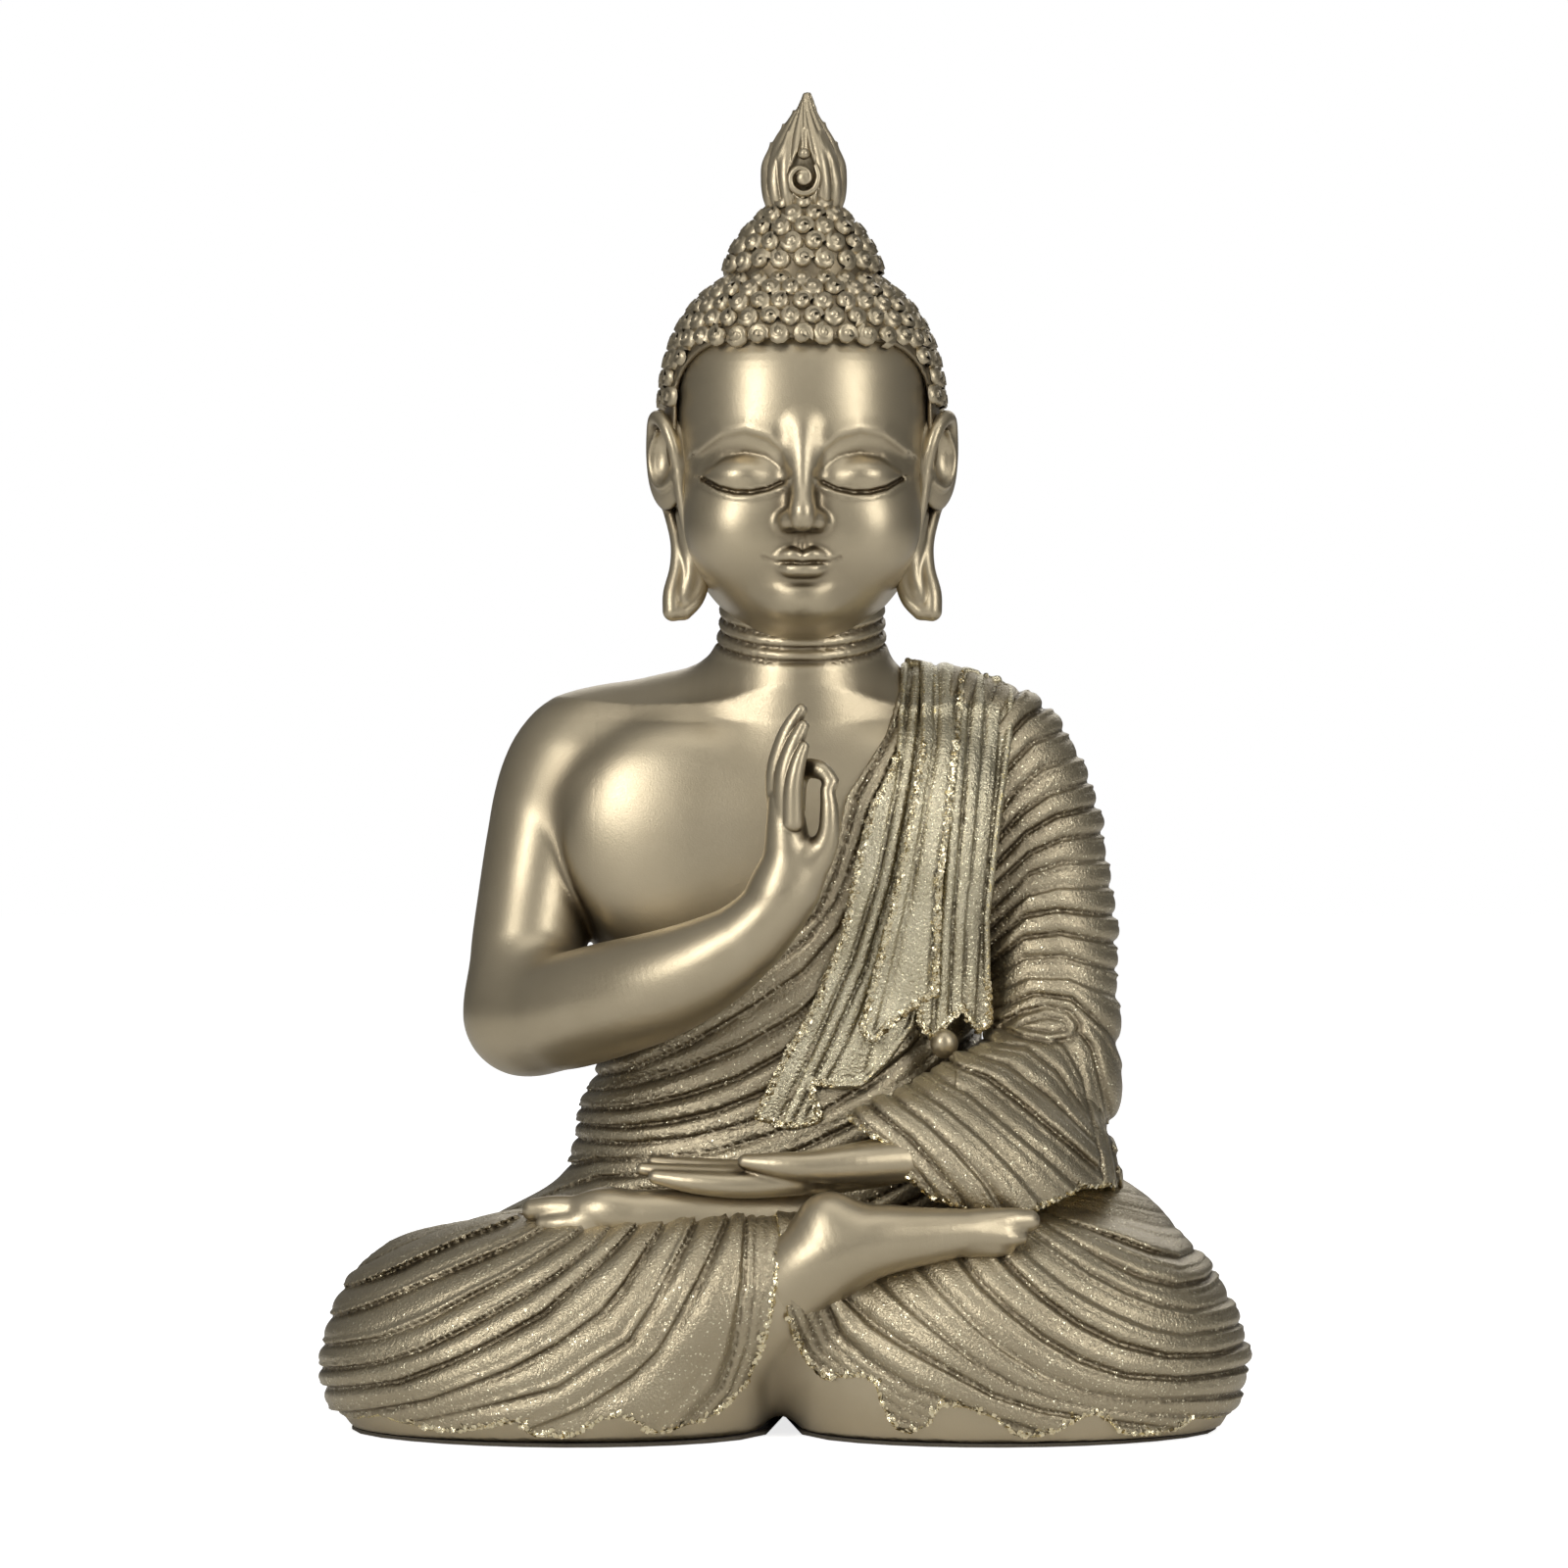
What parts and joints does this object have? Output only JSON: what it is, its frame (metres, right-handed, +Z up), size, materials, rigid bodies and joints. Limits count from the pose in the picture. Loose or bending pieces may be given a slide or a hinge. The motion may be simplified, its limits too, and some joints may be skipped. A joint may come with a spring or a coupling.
{
  "type": "buddha statue",
  "caption": "Seated meditating figure in champagne-gold cast resin, one hand raised and one in the lap, with a draped robe, tight curls and a flame finial, on a felt base",
  "frame": {"origin": "centre of the underside of the felt, level with the shelf it stands on", "axes": "+Z up, the figure faces -Y, +X is the side of its left arm"},
  "size_m": [0.2786, 0.1722, 0.4],
  "materials": {
    "painted_skin": "satin champagne-gold paint over cast resin",
    "painted_robe": "rough champagne-gold paint with a sandy grain over cast resin",
    "painted_sash": "silvery gold glitter paint over cast resin",
    "resin_plate": "plain moulded plate",
    "plug_rubber": "smooth",
    "felt": "felt",
    "dowel_steel": "plain"
  },
  "bodies": {
    "root": {"seat_casting": "painted_skin", "torso_casting": "painted_skin", "head_casting": "painted_skin", "hair_cap": "painted_skin", "hair_curls": "painted_skin", "flame_finial": "painted_skin", "flame_jewels": "painted_skin", "left_ear": "painted_skin", "right_ear": "painted_skin", "right_arm": "painted_skin", "right_hand": "painted_skin", "left_hand": "painted_skin", "right_foot": "painted_skin", "left_foot": "painted_skin", "robe_front": "painted_robe", "robe_back": "painted_robe", "waist_wrap": "painted_robe", "left_sleeve": "painted_robe", "sleeve_hem": "painted_robe", "sash_top_fold": "painted_sash", "sash_middle_fold": "painted_sash", "sash_under_fold": "painted_sash", "robe_tie_bead": "painted_skin", "right_leg_drape": "painted_robe", "left_leg_drape": "painted_robe", "base_plate": "resin_plate", "vent_plug": "plug_rubber", "felt_base": "felt", "waist_dowels": "dowel_steel", "shoulder_dowels": "dowel_steel", "right_wrist_pin": "dowel_steel", "left_wrist_pin": "dowel_steel", "finial_peg": "dowel_steel"}
  },
  "joints": []
}
